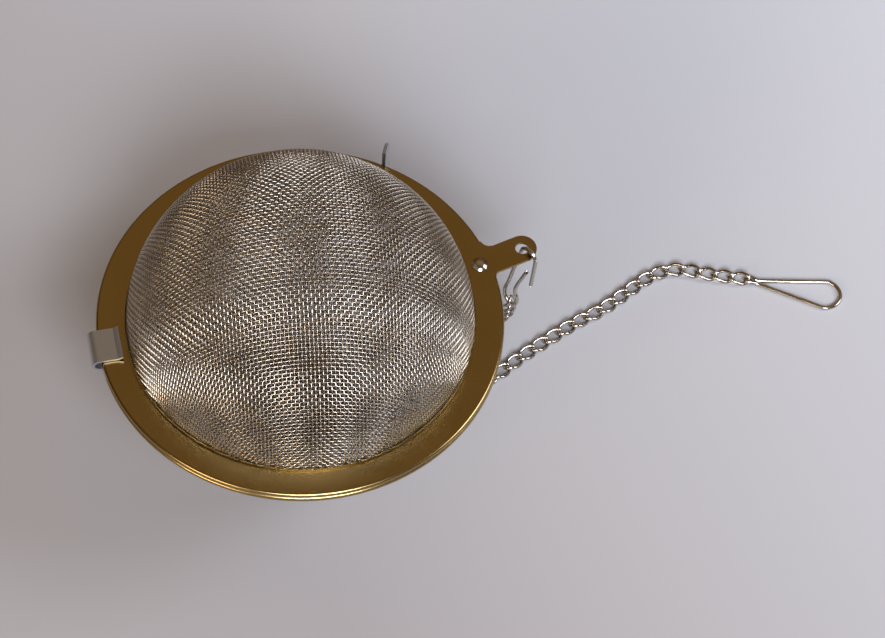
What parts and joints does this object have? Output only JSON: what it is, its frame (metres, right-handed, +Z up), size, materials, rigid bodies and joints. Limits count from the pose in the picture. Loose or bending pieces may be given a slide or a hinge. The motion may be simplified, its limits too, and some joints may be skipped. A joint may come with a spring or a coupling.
{
  "type": "mesh tea ball",
  "caption": "Stainless tea infuser: two woven mesh half balls in flat rims that swivel apart on a rivet, with a stop, a clip, a wire hook, a curb chain and a wire handle.",
  "frame": {"origin": "the point where the ball stands on the table, under the middle of both rims", "axes": "+Z up, square to the rims; the rivet, the ear and the chain lie towards +X, and the clip towards -X"},
  "size_m": [0.1231, 0.066, 0.0535],
  "materials": {
    "rim_steel": "bright pressed stainless sheet",
    "mesh_wire": "woven stainless wire",
    "rivet_steel": "polished",
    "wire_steel": "polished drawn wire"
  },
  "bodies": {
    "lower_half": {"lower_rim": "rim_steel", "lower_mesh": "mesh_wire", "rivet": "rivet_steel"},
    "upper_half": {"upper_rim": "rim_steel", "upper_mesh": "mesh_wire"},
    "hook": {"hook": "wire_steel"},
    "link_01": {"link_01": "wire_steel"},
    "link_02": {"link_02": "wire_steel"},
    "link_03": {"link_03": "wire_steel"},
    "link_04": {"link_04": "wire_steel"},
    "link_05": {"link_05": "wire_steel"},
    "link_06": {"link_06": "wire_steel"},
    "link_07": {"link_07": "wire_steel"},
    "link_08": {"link_08": "wire_steel"},
    "link_09": {"link_09": "wire_steel"},
    "link_10": {"link_10": "wire_steel"},
    "link_11": {"link_11": "wire_steel"},
    "link_12": {"link_12": "wire_steel"},
    "link_13": {"link_13": "wire_steel"},
    "link_14": {"link_14": "wire_steel"},
    "link_15": {"link_15": "wire_steel"},
    "link_16": {"link_16": "wire_steel"},
    "link_17": {"link_17": "wire_steel"},
    "link_18": {"link_18": "wire_steel"},
    "link_19": {"link_19": "wire_steel"},
    "link_20": {"link_20": "wire_steel"},
    "link_21": {"link_21": "wire_steel"},
    "link_22": {"link_22": "wire_steel"},
    "link_23": {"link_23": "wire_steel"},
    "link_24": {"link_24": "wire_steel"},
    "link_25": {"link_25": "wire_steel"},
    "link_26": {"link_26": "wire_steel"},
    "link_27": {"link_27": "wire_steel"},
    "link_28": {"link_28": "wire_steel"},
    "link_29": {"link_29": "wire_steel"},
    "link_30": {"link_30": "wire_steel"},
    "link_31": {"link_31": "wire_steel"},
    "link_32": {"link_32": "wire_steel"},
    "handle": {"handle": "wire_steel"}
  },
  "joints": [
    {"name": "rim_swivel", "type": "hinge", "parent": "lower_half", "child": "upper_half", "pos_m": [0.0278, 0.01267, 0.02673], "axis": [0, 0, 1], "range_deg": [0, 70]},
    {"name": "hook_turn", "type": "hinge", "parent": "upper_half", "child": "hook", "pos_m": [0.03438, 0.01647, 0.0275], "axis": [0, 0, 1], "range_deg": [-12, 40]},
    {"name": "link_01_turn", "type": "hinge", "parent": "hook", "child": "link_01", "pos_m": [0.03333, 0.01545, 0.0136], "axis": [0, 0, 1], "range_deg": [-15, 15]},
    {"name": "link_02_turn", "type": "hinge", "parent": "link_01", "child": "link_02", "pos_m": [0.03341, 0.016, 0.01085], "axis": [0, 0, 1], "range_deg": [-10, 10]},
    {"name": "link_03_turn", "type": "hinge", "parent": "link_02", "child": "link_03", "pos_m": [0.03331, 0.01672, 0.00815], "axis": [0, 0, 1], "range_deg": [-10, 10]},
    {"name": "link_04_turn", "type": "hinge", "parent": "link_03", "child": "link_04", "pos_m": [0.03306, 0.0175, 0.00547], "axis": [0, 0, 1], "range_deg": [-10, 0]},
    {"name": "link_05_turn", "type": "hinge", "parent": "link_04", "child": "link_05", "pos_m": [0.0319, 0.01791, 0.00296], "axis": [0, 0, 1], "range_deg": [-3, 3]},
    {"name": "link_06_turn", "type": "hinge", "parent": "link_05", "child": "link_06", "pos_m": [0.02964, 0.01902, 0.00173], "axis": [0, 0, 1], "range_deg": [-8, 3]},
    {"name": "link_07_turn", "type": "hinge", "parent": "link_06", "child": "link_07", "pos_m": [0.02702, 0.01893, 0.00073], "axis": [0, 0, 1], "range_deg": [-10, 0]},
    {"name": "link_08_turn", "type": "hinge", "parent": "link_07", "child": "link_08", "pos_m": [0.02443, 0.01788, 0.00071], "axis": [0, 0, 1], "range_deg": [-10, 3]},
    {"name": "link_09_turn", "type": "hinge", "parent": "link_08", "child": "link_09", "pos_m": [0.02259, 0.01577, 0.00072], "axis": [0, 0, 1], "range_deg": [-10, 3]},
    {"name": "link_10_turn", "type": "hinge", "parent": "link_09", "child": "link_10", "pos_m": [0.02187, 0.01306, 0.00072], "axis": [0, 0, 1], "range_deg": [-10, 3]},
    {"name": "link_11_turn", "type": "hinge", "parent": "link_10", "child": "link_11", "pos_m": [0.02243, 0.01032, 0.00072], "axis": [0, 0, 1], "range_deg": [-10, 3]},
    {"name": "link_12_turn", "type": "hinge", "parent": "link_11", "child": "link_12", "pos_m": [0.02416, 0.00812, 0.00072], "axis": [0, 0, 1], "range_deg": [-10, 3]},
    {"name": "link_13_turn", "type": "hinge", "parent": "link_12", "child": "link_13", "pos_m": [0.02668, 0.00691, 0.00072], "axis": [0, 0, 1], "range_deg": [-10, 3]},
    {"name": "link_14_turn", "type": "hinge", "parent": "link_13", "child": "link_14", "pos_m": [0.02948, 0.00695, 0.00072], "axis": [0, 0, 1], "range_deg": [-10, 3]},
    {"name": "link_15_turn", "type": "hinge", "parent": "link_14", "child": "link_15", "pos_m": [0.03198, 0.00822, 0.00072], "axis": [0, 0, 1], "range_deg": [-8, 8]},
    {"name": "link_16_turn", "type": "hinge", "parent": "link_15", "child": "link_16", "pos_m": [0.03395, 0.01021, 0.00072], "axis": [0, 0, 1], "range_deg": [-8, 8]},
    {"name": "link_17_turn", "type": "hinge", "parent": "link_16", "child": "link_17", "pos_m": [0.03591, 0.01221, 0.00072], "axis": [0, 0, 1], "range_deg": [-8, 8]},
    {"name": "link_18_turn", "type": "hinge", "parent": "link_17", "child": "link_18", "pos_m": [0.03798, 0.01409, 0.00072], "axis": [0, 0, 1], "range_deg": [-8, 8]},
    {"name": "link_19_turn", "type": "hinge", "parent": "link_18", "child": "link_19", "pos_m": [0.04009, 0.01593, 0.00072], "axis": [0, 0, 1], "range_deg": [-8, 8]},
    {"name": "link_20_turn", "type": "hinge", "parent": "link_19", "child": "link_20", "pos_m": [0.04221, 0.01777, 0.00072], "axis": [0, 0, 1], "range_deg": [-8, 8]},
    {"name": "link_21_turn", "type": "hinge", "parent": "link_20", "child": "link_21", "pos_m": [0.04435, 0.01957, 0.00072], "axis": [0, 0, 1], "range_deg": [-8, 8]},
    {"name": "link_22_turn", "type": "hinge", "parent": "link_21", "child": "link_22", "pos_m": [0.04661, 0.02122, 0.00072], "axis": [0, 0, 1], "range_deg": [-8, 8]},
    {"name": "link_23_turn", "type": "hinge", "parent": "link_22", "child": "link_23", "pos_m": [0.04893, 0.02279, 0.00072], "axis": [0, 0, 1], "range_deg": [-8, 8]},
    {"name": "link_24_turn", "type": "hinge", "parent": "link_23", "child": "link_24", "pos_m": [0.05102, 0.02465, 0.00072], "axis": [0, 0, 1], "range_deg": [-8, 8]},
    {"name": "link_25_turn", "type": "hinge", "parent": "link_24", "child": "link_25", "pos_m": [0.05301, 0.02663, 0.00072], "axis": [0, 0, 1], "range_deg": [-8, 8]},
    {"name": "link_26_turn", "type": "hinge", "parent": "link_25", "child": "link_26", "pos_m": [0.055, 0.02859, 0.00072], "axis": [0, 0, 1], "range_deg": [-8, 8]},
    {"name": "link_27_turn", "type": "hinge", "parent": "link_26", "child": "link_27", "pos_m": [0.05708, 0.03047, 0.00072], "axis": [0, 0, 1], "range_deg": [-8, 8]},
    {"name": "link_28_turn", "type": "hinge", "parent": "link_27", "child": "link_28", "pos_m": [0.05954, 0.0318, 0.00072], "axis": [0, 0, 1], "range_deg": [-8, 8]},
    {"name": "link_29_turn", "type": "hinge", "parent": "link_28", "child": "link_29", "pos_m": [0.06228, 0.03237, 0.00072], "axis": [0, 0, 1], "range_deg": [-8, 8]},
    {"name": "link_30_turn", "type": "hinge", "parent": "link_29", "child": "link_30", "pos_m": [0.06506, 0.03202, 0.00072], "axis": [0, 0, 1], "range_deg": [-8, 8]},
    {"name": "link_31_turn", "type": "hinge", "parent": "link_30", "child": "link_31", "pos_m": [0.06785, 0.03172, 0.00072], "axis": [0, 0, 1], "range_deg": [-8, 8]},
    {"name": "link_32_turn", "type": "hinge", "parent": "link_31", "child": "link_32", "pos_m": [0.07064, 0.03157, 0.00072], "axis": [0, 0, 1], "range_deg": [-8, 8]},
    {"name": "handle_turn", "type": "hinge", "parent": "link_32", "child": "handle", "pos_m": [0.07344, 0.03143, 0.00072], "axis": [0, 0, 1], "range_deg": [-8, 8]}
  ]
}
